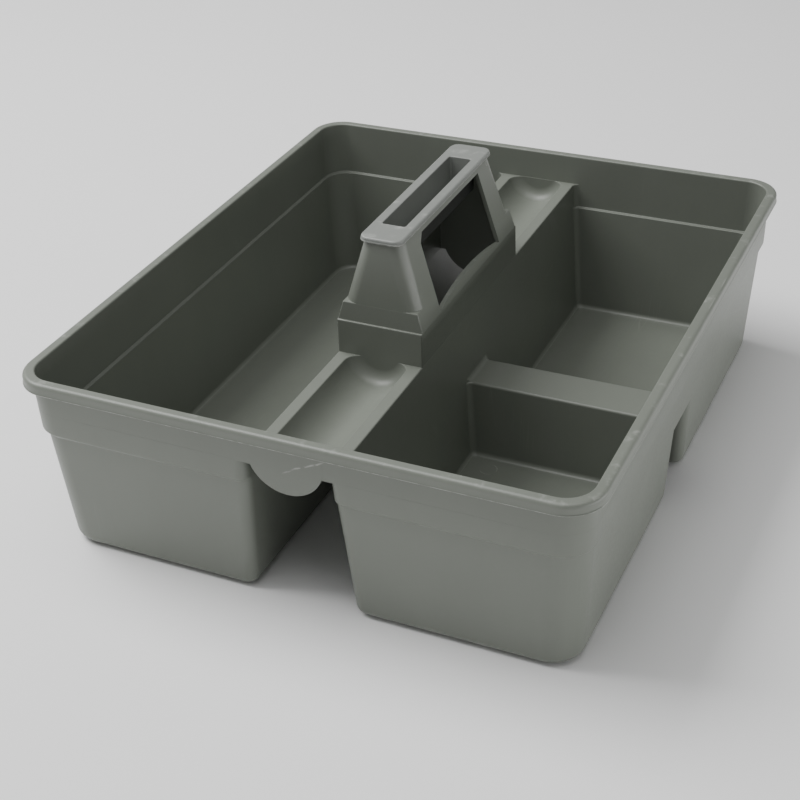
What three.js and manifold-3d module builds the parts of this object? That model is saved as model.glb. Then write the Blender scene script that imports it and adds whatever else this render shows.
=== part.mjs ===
// Tool storage caddy: an open plastic carry tray with a full-length bin on the left, two bins on
// the right, a raised spine between them and a hollow handle column with an open-topped grip.
// Millimetres, +Z up, +Y towards the back. The origin is on the ground under the tray's middle.

import * as THREE from 'three';
import { mergeVertices } from 'three/addons/utils/BufferGeometryUtils.js';
import Module from 'manifold-3d';

const wasm = await Module();
wasm.setup();

// ---- Driving dimensions -------------------------------------------------------------------

// Overall
const TRAY_WIDTH = 344; // along X, over the rim
const TRAY_LENGTH = 400; // along Y, over the rim
const RIM_HEIGHT = 117.5; // top of the rim
const HANDLE_HEIGHT = 172; // top of the grip

// Moulding
const WALL = 2.5;
const FLOOR = 3;
const UPPER_DRAFT = 1.5; // degrees, rim band
const LOWER_DRAFT = 3.5; // degrees, the bins' outer walls
const INNER_DRAFT = 4.2; // degrees, the bins' walls at the spine and the bridge
const SEAM = 0.3; // gap kept between neighbouring nodes

// Rim
const RIM_OVERHANG = 4.6; // rim edge to the outer face of the wall below it
const RIM_SHOULDER = 3; // radius of the rim's top outer edge
const LIP_DROP = 7; // height of the turned-down lip
const LIP_WALL = 2.2;
const RIM_CORNER = 22; // plan radius of the rim's corners
const WALL_CORNER = 18.5; // plan radius of the outer walls' corners

// Step in the walls
const STEP_HEIGHT = 80;
const STEP_DEPTH = 2;
const STEP_SLOPE = 3.5; // height over which the outer face steps in

// Bins
const INNER_CORNER = 4; // plan radius of the bins' corners at the spine and the cross tunnel
const FOOT_RADIUS = 7; // outer edge at the ground
const FLOOR_FILLET = 3; // inner edge at the floor

// Spine with its trough
const SPINE_WIDTH = 54; // at its top, between the bins' inner faces
const RIDGE_HEIGHT = 97;
const TROUGH_RADIUS = 20;
const TROUGH_DEPTH = 15;
const TROUGH_FILLET = 8; // where the trough runs out against the column and the walls

// Cross bridge between the two right-hand bins
const BRIDGE_WIDTH = 30; // between the bins' inner faces at its top
const BRIDGE_HEIGHT = 54;
const BRIDGE_CENTRE = -1.5; // along Y
const BRIDGE_FILLET = 3; // where its top meets the walls
const BRIDGE_EDGE = 1.5; // round on its two long edges

// Handle column
const COLUMN_LENGTH = 152; // along Y at the foot
const LEDGE_HEIGHT = 118.5; // ledge on the front and back faces; the sides lean in above it
const LEDGE_DEPTH = 1.3;
const SHOULDER_HEIGHT = 130; // where the tapered, round-cornered part begins
const UPRIGHT_CORNER = 9;
const COLUMN_DRAFT = 1; // degrees, front and back faces below the shoulder
const GRIP_OVERHANG = 1.2; // grip plate past the uprights

// Finger opening through both sides of the column
const OPENING_LENGTH = 94; // at its lower corners
const OPENING_TOP_LENGTH = 91;
const OPENING_SILL = 119.5; // lower corners
const OPENING_CROWN = 4.5; // rise of the sill at mid length
const OPENING_GUSSET = 5; // corner piece left at the opening's front top corner
const RAIL_HEIGHT = 3.2; // strip of wall left over the opening, under the grip plate

// Grip
const GRIP_WIDTH = 27;
const GRIP_LENGTH = 141;
const GRIP_PLATE = 3;
const GRIP_CORNER = 6;
const GRIP_EDGE = 0.8; // small round on the plate's top edge
const SLOT_WIDTH = 14.4;
const SLOT_LENGTH = 100;
const SLOT_DEPTH = 18;
const SLOT_CORNER = 1.5;
const SLOT_DRAFT = 2; // degrees

// ---- Derived sizes ------------------------------------------------------------------------

const slope = (degrees) => Math.tan(THREE.MathUtils.degToRad(degrees));
const HALF_WIDTH = TRAY_WIDTH / 2;
const HALF_LENGTH = TRAY_LENGTH / 2;
const PAST = 1; // how far a cutting solid runs past the face it opens

// The walls lean in going down: this much at the step, measured from the rim's edge.
const STEP_INSET = RIM_OVERHANG + (RIM_HEIGHT - STEP_HEIGHT) * slope(UPPER_DRAFT);
// Inset of a wall at height z, measured from where that wall meets the step from above. The outer
// walls step in below it; the inner walls, at the spine and the bridge, run on with no step.
const upperInset = (z) => (STEP_HEIGHT - z) * slope(UPPER_DRAFT);
const lowerInset = (z) => STEP_DEPTH + (STEP_HEIGHT - z) * slope(LOWER_DRAFT);
const innerInset = (z) => (STEP_HEIGHT - z) * slope(INNER_DRAFT);

const RIDGE_BOTTOM = RIDGE_HEIGHT - WALL;
const BRIDGE_BOTTOM = BRIDGE_HEIGHT - WALL;
const TROUGH_CENTRE = RIDGE_HEIGHT - TROUGH_DEPTH + TROUGH_RADIUS;
const PLATE_BOTTOM = HANDLE_HEIGHT - GRIP_PLATE;
const SPLIT_HEIGHT = STEP_HEIGHT - 4; // the rim band and the bins part here

const WELL_CORNER = WALL_CORNER - WALL;
const SPINE_HALF = SPINE_WIDTH / 2 - innerInset(RIDGE_HEIGHT); // at the step
const TUNNEL_HALF = SPINE_WIDTH / 2 - WALL; // at the ridge

// ---- Solids from three.js shapes ----------------------------------------------------------

const ARC_STEPS = 6; // segments in a quarter turn

/** Turns a closed three.js geometry into a solid that can be joined and cut. */
function toSolid(geometry) {
  geometry.deleteAttribute('normal');
  geometry.deleteAttribute('uv');
  const merged = mergeVertices(geometry, 1e-4);
  return new wasm.Manifold(new wasm.Mesh({
    numProp: 3,
    vertProperties: new Float32Array(merged.attributes.position.array),
    triVerts: new Uint32Array(merged.index.array),
  }));
}

/** A rectangle with its own radius at each corner, going round from the left front one. */
function roundedRectangle({ x0, x1, y0, y1 }, [frontLeft, frontRight, backRight, backLeft]) {
  const quarter = Math.PI / 2;
  const shape = new THREE.Shape();
  shape.absarc(x0 + frontLeft, y0 + frontLeft, frontLeft, 2 * quarter, 3 * quarter, false);
  shape.absarc(x1 - frontRight, y0 + frontRight, frontRight, 3 * quarter, 4 * quarter, false);
  shape.absarc(x1 - backRight, y1 - backRight, backRight, 0, quarter, false);
  shape.absarc(x0 + backLeft, y1 - backLeft, backLeft, quarter, 2 * quarter, false);
  shape.closePath();
  return shape;
}

/**
 * A block with a rounded-rectangle plan and leaning walls; its corners keep their radii. levels
 * lists its heights from the bottom up, each with how far its left, right, front and back walls
 * lie inside the plan there.
 */
function draftBlock(plan, corners, levels) {
  const geometry = new THREE.ExtrudeGeometry(roundedRectangle(plan, corners), {
    depth: levels.length - 1, steps: levels.length - 1, bevelEnabled: false, curveSegments: ARC_STEPS,
  });
  const position = geometry.attributes.position;
  const middleX = (plan.x0 + plan.x1) / 2;
  const middleY = (plan.y0 + plan.y1) / 2;
  for (let i = 0; i < position.count; i += 1) {
    const { z, left, right, front, back } = levels[Math.round(position.getZ(i))];
    const x = position.getX(i);
    const y = position.getY(i);
    position.setXYZ(i, x + (x < middleX ? left : -right), y + (y < middleY ? front : -back), z);
  }
  return toSolid(geometry);
}

/** A level with the same inset on all four sides. */
function level(z, inset = 0) {
  return { z, left: inset, right: inset, front: inset, back: inset };
}

/** A level with one inset for the left and right sides, and one for the front and back. */
function oblongLevel(z, across, along) {
  return { z, left: across, right: across, front: along, back: along };
}

/** A straight-sided block between two corners. */
function box([x0, y0, z0], [x1, y1, z1]) {
  const geometry = new THREE.BoxGeometry(x1 - x0, y1 - y0, z1 - z0);
  geometry.translate((x0 + x1) / 2, (y0 + y1) / 2, (z0 + z1) / 2);
  return toSolid(geometry);
}

/** A prism along Y: the shape is drawn in X and Z. */
function prismAlongY(shape, y0, y1) {
  const geometry = new THREE.ExtrudeGeometry(shape, {
    depth: y1 - y0, bevelEnabled: false, curveSegments: 4 * ARC_STEPS,
  });
  geometry.rotateX(Math.PI / 2);
  geometry.translate(0, y1, 0);
  return toSolid(geometry);
}

/** A prism along X, centred on the origin: the shape is drawn in Y and Z. */
function prismAlongX(shape, length) {
  const geometry = new THREE.ExtrudeGeometry(shape, {
    depth: length, bevelEnabled: false, curveSegments: 4 * ARC_STEPS,
  });
  geometry.rotateX(Math.PI / 2);
  geometry.rotateZ(Math.PI / 2);
  geometry.translate(-length / 2, 0, 0);
  return toSolid(geometry);
}

/** Levels of an edge rounded into a flat base at height z; walls(height, extra) gives each level. */
function roundedBase(z, radius, walls) {
  const levels = [];
  for (let i = 0; i <= ARC_STEPS; i += 1) {
    const turn = (i / ARC_STEPS) * (Math.PI / 2);
    levels.push(walls(z + radius * (1 - Math.cos(turn)), radius * (1 - Math.sin(turn))));
  }
  return levels;
}

/** The same plan moved out on every side. */
function grow({ x0, x1, y0, y1 }, by) {
  return { x0: x0 - by, x1: x1 + by, y0: y0 - by, y1: y1 + by };
}

// ---- Plans, all at the step, before the wall steps in -------------------------------------

const WELL = { // everything inside the walls
  x0: -(HALF_WIDTH - STEP_INSET - WALL), x1: HALF_WIDTH - STEP_INSET - WALL,
  y0: -(HALF_LENGTH - STEP_INSET - WALL), y1: HALF_LENGTH - STEP_INSET - WALL,
};
const bridgeEdge = BRIDGE_WIDTH / 2 - innerInset(BRIDGE_HEIGHT);
const rightPlan = { ...WELL, x0: SPINE_HALF };

// Each bin: its plan, its corners' radii, and which of its walls are inner walls.
const LEFT = {
  plan: { ...WELL, x1: -SPINE_HALF },
  corners: [WELL_CORNER, INNER_CORNER, INNER_CORNER, WELL_CORNER],
  inner: ['right'],
};
const RIGHT = {
  plan: rightPlan,
  corners: [INNER_CORNER, WELL_CORNER, WELL_CORNER, INNER_CORNER],
  inner: ['left'],
};
const FRONT_RIGHT = {
  plan: { ...rightPlan, y1: BRIDGE_CENTRE - bridgeEdge },
  corners: [INNER_CORNER, WELL_CORNER, INNER_CORNER, INNER_CORNER],
  inner: ['left', 'back'],
};
const REAR_RIGHT = {
  plan: { ...rightPlan, y0: BRIDGE_CENTRE + bridgeEdge },
  corners: [INNER_CORNER, INNER_CORNER, WELL_CORNER, INNER_CORNER],
  inner: ['left', 'front'],
};

// ---- The moulding -------------------------------------------------------------------------

/** A level of a bin: its outer walls outerInset in, its inner walls on their own slope. */
function binLevel({ inner }, z, outerInset, extra = 0) {
  const result = level(z, outerInset(z) + extra);
  for (const side of inner) {
    result[side] = innerInset(z) + extra;
  }
  return result;
}

/** The levels from the step up to a bin's top; the outer walls step in over the given fall. */
function upperLevels(bin, fall, top) {
  return [
    binLevel(bin, STEP_HEIGHT - fall / 2, lowerInset),
    binLevel(bin, STEP_HEIGHT + fall / 2, upperInset),
    binLevel(bin, top, upperInset),
  ];
}

/** The levels of a bin where its walls round into a flat base, at height z. */
function footLevels(bin, z, radius) {
  return roundedBase(z, radius, (height, extra) => binLevel(bin, height, lowerInset, extra));
}

/** A block in a bin's plan: its outside if a wall's thickness is added, and else its hollow. */
function binBlock({ plan, corners }, thickness, levels) {
  return draftBlock(grow(plan, thickness), corners.map((radius) => radius + thickness), levels);
}

/** The levels of a short bin's hollow: past the bridge's top, the edge it shares is rounded over. */
function shortHollowLevels(bin) {
  const levels = footLevels(bin, FLOOR, FLOOR_FILLET);
  const bridgeSide = bin.inner[1];
  for (let i = 0; i <= ARC_STEPS; i += 1) {
    const turn = (i / ARC_STEPS) * (Math.PI / 2);
    const z = BRIDGE_HEIGHT - BRIDGE_EDGE * (1 - Math.sin(turn));
    const edge = binLevel(bin, z, lowerInset);
    edge[bridgeSide] -= BRIDGE_EDGE * (1 - Math.cos(turn));
    levels.push(edge);
  }
  const last = binLevel(bin, BRIDGE_HEIGHT + BRIDGE_FILLET, lowerInset);
  last[bridgeSide] = levels.at(-1)[bridgeSide];
  return [...levels, last];
}

/** Solid block of the rim band, from the given height to the rim's top. */
function bandOutside(bottom) {
  const corners = [WALL_CORNER, WALL_CORNER, WALL_CORNER, WALL_CORNER];
  return draftBlock(grow(WELL, WALL), corners, [level(bottom), level(RIM_HEIGHT, upperInset(RIM_HEIGHT))]);
}

/** The rim's flange: a round shoulder over a lip that turns down, hollow underneath. */
function flange() {
  const plan = { x0: -HALF_WIDTH, x1: HALF_WIDTH, y0: -HALF_LENGTH, y1: HALF_LENGTH };
  const corners = [RIM_CORNER, RIM_CORNER, RIM_CORNER, RIM_CORNER];
  const levels = [level(RIM_HEIGHT - LIP_DROP)];
  for (let i = 0; i <= ARC_STEPS; i += 1) {
    const turn = (i / ARC_STEPS) * (Math.PI / 2);
    levels.push(level(RIM_HEIGHT - RIM_SHOULDER * (1 - Math.sin(turn)), RIM_SHOULDER * (1 - Math.cos(turn))));
  }
  const ringBottom = RIM_HEIGHT - LIP_DROP - PAST;
  const ringTop = RIM_HEIGHT - WALL;
  const ring = (inset) => draftBlock(plan, corners, [level(ringBottom, inset), level(ringTop, inset)]);
  const underside = ring(LIP_WALL).subtract(ring(RIM_OVERHANG));
  return draftBlock(plan, corners, levels).subtract(underside);
}

/** A round bar along the trough's axis. */
function troughBar(radius, halfLength) {
  const shape = new THREE.Shape();
  shape.absarc(0, TROUGH_CENTRE, radius, 0, 2 * Math.PI, false);
  return prismAlongY(shape, -halfLength, halfLength);
}

/** The trough's hollow between two places along Y: a round bar with rounded ends. */
function troughHollow(y0, y1) {
  const flat = TROUGH_RADIUS - TROUGH_FILLET;
  const profile = [new THREE.Vector2(0, y0)];
  for (let i = 0; i <= ARC_STEPS; i += 1) {
    const turn = (i / ARC_STEPS) * (Math.PI / 2);
    const fall = TROUGH_FILLET * (1 - Math.cos(turn));
    profile.push(new THREE.Vector2(flat + TROUGH_FILLET * Math.sin(turn), y0 + fall));
  }
  const mirrored = profile.map(({ x, y }) => new THREE.Vector2(x, y0 + y1 - y)).reverse();
  const geometry = new THREE.LatheGeometry([...profile, ...mirrored], 16 * ARC_STEPS);
  geometry.translate(0, 0, TROUGH_CENTRE);
  return toSolid(geometry);
}

/** A block with sharp corners, centred on the column's axis, with its walls leaning in. */
function columnBlock(halfX, halfY, radius, levels) {
  const plan = { x0: -halfX, x1: halfX, y0: -halfY, y1: halfY };
  return draftBlock(plan, [radius, radius, radius, radius], levels);
}

/** The hollow handle column: a square base, a ledge, and two uprights that taper to the grip. */
function column() {
  const footHalfX = SPINE_WIDTH / 2;
  const baseHalfY = COLUMN_LENGTH / 2;
  const bandHalfY = baseHalfY - LEDGE_DEPTH;
  const topHalfX = GRIP_WIDTH / 2 - GRIP_OVERHANG;
  const topHalfY = GRIP_LENGTH / 2 - GRIP_OVERHANG;
  const top = PLATE_BOTTOM - SEAM;
  // Above the ledge all four faces lean in evenly to the grip.
  const ledgeLean = (LEDGE_HEIGHT - RIDGE_HEIGHT) * slope(COLUMN_DRAFT);
  const share = (z) => Math.max(0, (z - LEDGE_HEIGHT) / (top - LEDGE_HEIGHT));
  const sideLean = (z) => (footHalfX - topHalfX) * share(z);
  const endLean = (z) => Math.min(ledgeLean, (z - RIDGE_HEIGHT) * slope(COLUMN_DRAFT))
    + (bandHalfY - ledgeLean - topHalfY) * share(z);
  const leaning = (z) => oblongLevel(z, sideLean(z), endLean(z));
  const shoulderHalfX = footHalfX - sideLean(SHOULDER_HEIGHT);
  const shoulderHalfY = bandHalfY - endLean(SHOULDER_HEIGHT);
  const tapered = (z) => oblongLevel(z, shoulderHalfX - topHalfX, shoulderHalfY - topHalfY);
  const foot = level(RIDGE_BOTTOM);
  const ridge = level(RIDGE_HEIGHT);

  const base = columnBlock(footHalfX, baseHalfY, 1, [foot, ridge, leaning(LEDGE_HEIGHT)]);
  const band = columnBlock(footHalfX, bandHalfY, 1, [
    foot, ridge, leaning(LEDGE_HEIGHT), leaning(SHOULDER_HEIGHT),
  ]);
  const uprights = columnBlock(shoulderHalfX, shoulderHalfY, UPRIGHT_CORNER, [
    level(SHOULDER_HEIGHT - PAST), level(SHOULDER_HEIGHT), tapered(top),
  ]);

  const hollowBase = columnBlock(footHalfX - WALL, bandHalfY - WALL, 1, [
    level(RIDGE_BOTTOM - TROUGH_RADIUS), ridge, leaning(LEDGE_HEIGHT), leaning(SHOULDER_HEIGHT - WALL),
  ]);
  const hollowTop = columnBlock(shoulderHalfX - WALL, shoulderHalfY - WALL, UPRIGHT_CORNER - WALL, [
    level(SHOULDER_HEIGHT - WALL - PAST), level(SHOULDER_HEIGHT), tapered(top), tapered(top + PAST),
  ]);
  const troughEnds = troughBar(TROUGH_RADIUS + WALL, baseHalfY)
    .intersect(box([-footHalfX, -baseHalfY, 0], [footHalfX, baseHalfY, RIDGE_HEIGHT]));
  return base.add(band).add(uprights).add(troughEnds)
    .subtract(hollowBase).subtract(hollowTop).subtract(fingerOpening());
}

/** The way through both sides of the column for the hand, with a sill that rises at mid length. */
function fingerOpening() {
  const half = OPENING_LENGTH / 2;
  const halfTop = OPENING_TOP_LENGTH / 2;
  const top = PLATE_BOTTOM - SEAM - RAIL_HEIGHT;
  const radius = (half ** 2 + OPENING_CROWN ** 2) / (2 * OPENING_CROWN);
  const sweep = Math.asin(half / radius);
  const centre = OPENING_SILL + OPENING_CROWN - radius;
  const shape = new THREE.Shape();
  shape.moveTo(halfTop, top);
  shape.lineTo(-halfTop + OPENING_GUSSET, top);
  shape.lineTo(-halfTop, top - OPENING_GUSSET);
  shape.lineTo(-half, OPENING_SILL);
  shape.absarc(0, centre, radius, Math.PI / 2 + sweep, Math.PI / 2 - sweep, true);
  return prismAlongX(shape, TRAY_WIDTH);
}

/** The grip: a channel, open at the top, under a plate that overhangs the uprights. */
function grip() {
  const taper = (SLOT_DEPTH - GRIP_PLATE) * slope(SLOT_DRAFT);
  const plan = (width, length) => ({ x0: -width / 2, x1: width / 2, y0: -length / 2, y1: length / 2 });
  const even = (radius) => [radius, radius, radius, radius];
  const plate = draftBlock(plan(GRIP_WIDTH, GRIP_LENGTH), even(GRIP_CORNER), [
    level(PLATE_BOTTOM), level(HANDLE_HEIGHT - GRIP_EDGE), level(HANDLE_HEIGHT, GRIP_EDGE),
  ]);
  const channelPlan = plan(SLOT_WIDTH + 2 * LIP_WALL, SLOT_LENGTH + 2 * LIP_WALL);
  const channel = draftBlock(channelPlan, even(SLOT_CORNER + LIP_WALL), [
    level(HANDLE_HEIGHT - SLOT_DEPTH - LIP_WALL, taper), level(PLATE_BOTTOM + GRIP_PLATE / 2),
  ]);
  const slot = draftBlock(plan(SLOT_WIDTH, SLOT_LENGTH), even(SLOT_CORNER), [
    level(HANDLE_HEIGHT - SLOT_DEPTH, taper), level(PLATE_BOTTOM), level(HANDLE_HEIGHT + PAST),
  ]);
  return plate.add(channel).subtract(slot);
}

/** The outsides of the bins, the rim band, the trough and the flange, all still solid. */
function mouldingOutside() {
  const foot = (bin) => footLevels(bin, 0, FOOT_RADIUS);
  const top = RIDGE_BOTTOM + PAST / 2;
  // The band is cut back at the tunnel's ends, where the bins' own rounded corners take its place.
  const cornerHalf = SPINE_HALF + INNER_CORNER + WALL;
  const tunnelEnds = box([-cornerHalf, -HALF_LENGTH, 0], [cornerHalf, HALF_LENGTH, RIDGE_BOTTOM]);
  const short = (bin) => binBlock(bin, WALL, [...foot(bin), binLevel(bin, BRIDGE_BOTTOM + PAST, lowerInset)]);
  // Above the cross tunnel the right-hand bins share one outside.
  return binBlock(LEFT, WALL, [...foot(LEFT), ...upperLevels(LEFT, STEP_SLOPE, top)])
    .add(short(FRONT_RIGHT))
    .add(short(REAR_RIGHT))
    .add(binBlock(RIGHT, WALL, [
      binLevel(RIGHT, BRIDGE_BOTTOM, lowerInset), ...upperLevels(RIGHT, STEP_SLOPE, top),
    ]))
    .add(bandOutside(STEP_HEIGHT + STEP_SLOPE / 2 - 0.01).subtract(tunnelEnds))
    .add(troughBar(TROUGH_RADIUS + WALL, HALF_LENGTH).intersect(bandOutside(STEP_HEIGHT - WALL)))
    .add(flange());
}

/** Everything inside the rim, above the ridge. */
function overSpine() {
  const corners = [WELL_CORNER, WELL_CORNER, WELL_CORNER, WELL_CORNER];
  const above = RIM_HEIGHT + PAST;
  return draftBlock(WELL, corners, [
    level(RIDGE_HEIGHT, upperInset(RIDGE_HEIGHT)), level(above, upperInset(above)),
  ]);
}

/** The whole tray as one solid, before it is parted into its nodes. */
function moulding() {
  const top = RIDGE_HEIGHT + PAST;
  const hollowStep = 0.4; // the step is sharper inside than outside
  // Above the bridge the right-hand bins share one hollow, with a fillet along its foot.
  const overBridge = footLevels(RIGHT, BRIDGE_HEIGHT, BRIDGE_FILLET);
  return mouldingOutside()
    .subtract(binBlock(LEFT, 0, [
      ...footLevels(LEFT, FLOOR, FLOOR_FILLET), ...upperLevels(LEFT, hollowStep, top),
    ]))
    .subtract(binBlock(FRONT_RIGHT, 0, shortHollowLevels(FRONT_RIGHT)))
    .subtract(binBlock(REAR_RIGHT, 0, shortHollowLevels(REAR_RIGHT)))
    .subtract(binBlock(RIGHT, 0, [...overBridge, ...upperLevels(RIGHT, hollowStep, top)]))
    .subtract(overSpine())
    .subtract(troughHollow(-WELL.y1, -COLUMN_LENGTH / 2))
    .subtract(troughHollow(COLUMN_LENGTH / 2, WELL.y1))
    .subtract(columnWell())
    .add(column());
}

/** Clears the spine's top and trough away where the column stands. */
function columnWell() {
  const half = COLUMN_LENGTH / 2 - WALL;
  return box([-TUNNEL_HALF, -half, 0], [TUNNEL_HALF, half, RIDGE_HEIGHT + PAST]);
}

// ---- Parting the moulding into named nodes ------------------------------------------------

const FAR = TRAY_LENGTH; // past everything
const gap = SEAM / 2;
const spineHalf = SPINE_HALF + WALL;
const spineEnd = WELL.y1 - 0.6;
const columnEnd = COLUMN_LENGTH / 2;
const bridgeFront = BRIDGE_CENTRE - BRIDGE_WIDTH / 2 + WALL;
const bridgeBack = BRIDGE_CENTRE + BRIDGE_WIDTH / 2 - WALL;

const region = (low, high) => box(low, high);
const spineRegion = (y0, y1) => region([-spineHalf, y0, SPLIT_HEIGHT + gap], [spineHalf, y1, FAR]);

const tray = moulding().simplify(0.01);
const aboveSplit = tray.intersect(region([-FAR, -FAR, SPLIT_HEIGHT + gap], [FAR, FAR, FAR]));
const belowSplit = tray.intersect(region([-FAR, -FAR, -FAR], [FAR, FAR, SPLIT_HEIGHT - gap]));

const spineGap = region(
  [-spineHalf - gap, -spineEnd - gap, -FAR],
  [spineHalf + gap, spineEnd + gap, FAR],
);

const solids = {
  rim_band: aboveSplit.subtract(spineGap),
  front_trough: tray.intersect(spineRegion(-spineEnd + gap, -columnEnd - gap)),
  rear_trough: tray.intersect(spineRegion(columnEnd + gap, spineEnd - gap)),
  handle_column: tray.intersect(spineRegion(-columnEnd + gap, columnEnd - gap)),
  grip_channel: grip(),
  left_bin: belowSplit.intersect(region([-FAR, -FAR, -FAR], [0, FAR, FAR])),
  front_right_bin: belowSplit.intersect(region([0, -FAR, -FAR], [FAR, bridgeFront - gap, FAR])),
  rear_right_bin: belowSplit.intersect(region([0, bridgeBack + gap, -FAR], [FAR, FAR, FAR])),
  cross_bridge: belowSplit.intersect(region([0, bridgeFront + gap, -FAR], [FAR, bridgeBack - gap, FAR])),
};

// ---- Meshes -------------------------------------------------------------------------------

const PLASTIC = 0x75776f;
const GRIP_PLASTIC = 0x83867d;

function toMesh(name, solid) {
  const { numProp, vertProperties, triVerts } = solid.getMesh();
  const geometry = new THREE.BufferGeometry();
  const vertices = new Float32Array((vertProperties.length / numProp) * 3);
  for (let i = 0; i < vertices.length; i += 1) {
    vertices[i] = vertProperties[Math.floor(i / 3) * numProp + (i % 3)];
  }
  geometry.setAttribute('position', new THREE.BufferAttribute(vertices, 3));
  geometry.setIndex(new THREE.BufferAttribute(new Uint32Array(triVerts), 1));
  geometry.computeVertexNormals();
  const color = name === 'grip_channel' ? GRIP_PLASTIC : PLASTIC;
  const material = new THREE.MeshStandardMaterial({ color, roughness: 0.45, metalness: 0 });
  const mesh = new THREE.Mesh(geometry, material);
  mesh.name = name;
  return mesh;
}

const caddy = new THREE.Group();
for (const [name, solid] of Object.entries(solids)) {
  caddy.add(toMesh(name, solid.simplify(0.004)));
}

export default caddy;
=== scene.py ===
"""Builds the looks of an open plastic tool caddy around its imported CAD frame.

The caddy is one thin-walled tray moulding with a hollow handle column, and a grip channel pushed into
the top of that column. The CAD parts the tray into simple regions; here it is one smooth shell again.
Lengths are metres in the frame's own axes: +X to the right, +Y to the back, +Z up.
"""

import logging
import math
from dataclasses import dataclass, field, replace
from enum import Enum
from typing import Sequence

import bmesh
import bpy
import numpy as np
from mathutils import Matrix, Vector


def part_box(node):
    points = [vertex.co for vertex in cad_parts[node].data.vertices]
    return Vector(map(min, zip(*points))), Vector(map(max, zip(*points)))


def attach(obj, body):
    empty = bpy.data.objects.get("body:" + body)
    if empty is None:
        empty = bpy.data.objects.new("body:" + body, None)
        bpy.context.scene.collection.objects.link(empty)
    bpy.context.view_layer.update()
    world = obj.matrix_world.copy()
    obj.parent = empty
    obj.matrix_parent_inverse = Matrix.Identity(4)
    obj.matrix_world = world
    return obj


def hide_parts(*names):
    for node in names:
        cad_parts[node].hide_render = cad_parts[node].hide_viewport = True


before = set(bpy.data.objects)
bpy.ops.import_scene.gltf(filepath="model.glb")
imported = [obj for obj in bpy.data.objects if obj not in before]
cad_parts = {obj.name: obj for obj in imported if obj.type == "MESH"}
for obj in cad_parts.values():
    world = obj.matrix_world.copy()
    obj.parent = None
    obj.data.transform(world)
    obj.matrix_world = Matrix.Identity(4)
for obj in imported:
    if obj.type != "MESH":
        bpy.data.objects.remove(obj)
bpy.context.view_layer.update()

LOG = logging.getLogger("caddy")
MM = 0.001
LEAST_RADIUS = 0.25 * MM
WELD = 0.01 * MM


# ---- Solids worked out with numpy ---------------------------------------------------------


class Joining(Enum):
    """How one solid is combined with another."""

    ADD = "UNION"
    CUT = "DIFFERENCE"
    KEEP_SHARED = "INTERSECT"


@dataclass(frozen=True)
class Level:
    """One height of a leaning or rounded wall, and how far the wall lies inside its plan there.

    left, right, front and back are the insets of the four sides; shrink is taken off the corner
    radii, as it is on a fillet, whose corners keep their centres.
    """

    z: float
    left: float = 0.0
    right: float = 0.0
    front: float = 0.0
    back: float = 0.0
    shrink: float = 0.0

    @staticmethod
    def even(z: float, inset: float = 0.0, shrink: float = 0.0) -> "Level":
        """A level whose four sides lie equally far inside the plan."""
        return Level(z, inset, inset, inset, inset, shrink)

    @staticmethod
    def sides(z: float, across: float, along: float) -> "Level":
        """A level with one inset for the left and right sides and one for the front and back."""
        return Level(z, across, across, along, along)

    def eased(self, side: str, by: float) -> "Level":
        """The same level with one side moved outwards."""
        return replace(self, **{side: getattr(self, side) - by})


@dataclass(frozen=True)
class Plan:
    """A rounded rectangle seen from above, with its own radius at each corner."""

    x0: float
    x1: float
    y0: float
    y1: float
    radii: tuple[float, float, float, float]
    steps: int = 14

    def grown(self, by: float) -> "Plan":
        """The same plan moved out on every side, its corners keeping their centres."""
        radii = tuple(radius + by for radius in self.radii)
        return Plan(self.x0 - by, self.x1 + by, self.y0 - by, self.y1 + by, radii, self.steps)

    def ring(self, level: Level) -> np.ndarray:
        """Works out the outline at one level.

        Each corner is a quarter circle about a centre one radius in from both of its sides, so a
        point is the centre plus the radius times the cosine and sine of its turn.

        Args:
            level: the height and the insets of the four sides.

        Returns:
            The outline's points, anticlockwise from the left front corner, as an (n, 3) array.
        """
        x0, x1 = self.x0 + level.left, self.x1 - level.right
        y0, y1 = self.y0 + level.front, self.y1 - level.back
        turn = np.linspace(0.0, np.pi / 2, self.steps + 1)
        starts = np.array([np.pi, 1.5 * np.pi, 0.0, 0.5 * np.pi])
        radii = np.maximum(np.array(self.radii) - level.shrink, LEAST_RADIUS)
        corner = np.array([[x0, y0], [x1, y0], [x1, y1], [x0, y1]])
        inward = np.array([[1, 1], [-1, 1], [-1, -1], [1, -1]])
        centre = corner + inward * radii[:, None]
        angle = starts[:, None] + turn[None, :]
        x = centre[:, 0:1] + radii[:, None] * np.cos(angle)
        y = centre[:, 1:2] + radii[:, None] * np.sin(angle)
        z = np.full(x.size, level.z)
        return np.stack([x.ravel(), y.ravel(), z], axis=1)


@dataclass(frozen=True)
class Bin:
    """A bin's plan at the step, and which of its sides are inner walls with no step."""

    plan: Plan
    inner: tuple[str, ...]


def object_from(name: str, points: np.ndarray, faces: Sequence[Sequence[int]]) -> bpy.types.Object:
    """Makes an object from points and faces, with its faces turned outwards.

    Args:
        name: the object's name.
        points: vertex positions as an (n, 3) array.
        faces: each face's vertex numbers.

    Returns:
        The linked object, at the origin.
    """
    mesh = bpy.data.meshes.new(name)
    mesh.from_pydata(points.tolist(), [], faces)
    work = bmesh.new()
    work.from_mesh(mesh)
    bmesh.ops.recalc_face_normals(work, faces=work.faces)
    work.to_mesh(mesh)
    work.free()
    made = bpy.data.objects.new(name, mesh)
    bpy.context.scene.collection.objects.link(made)
    return made


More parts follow.
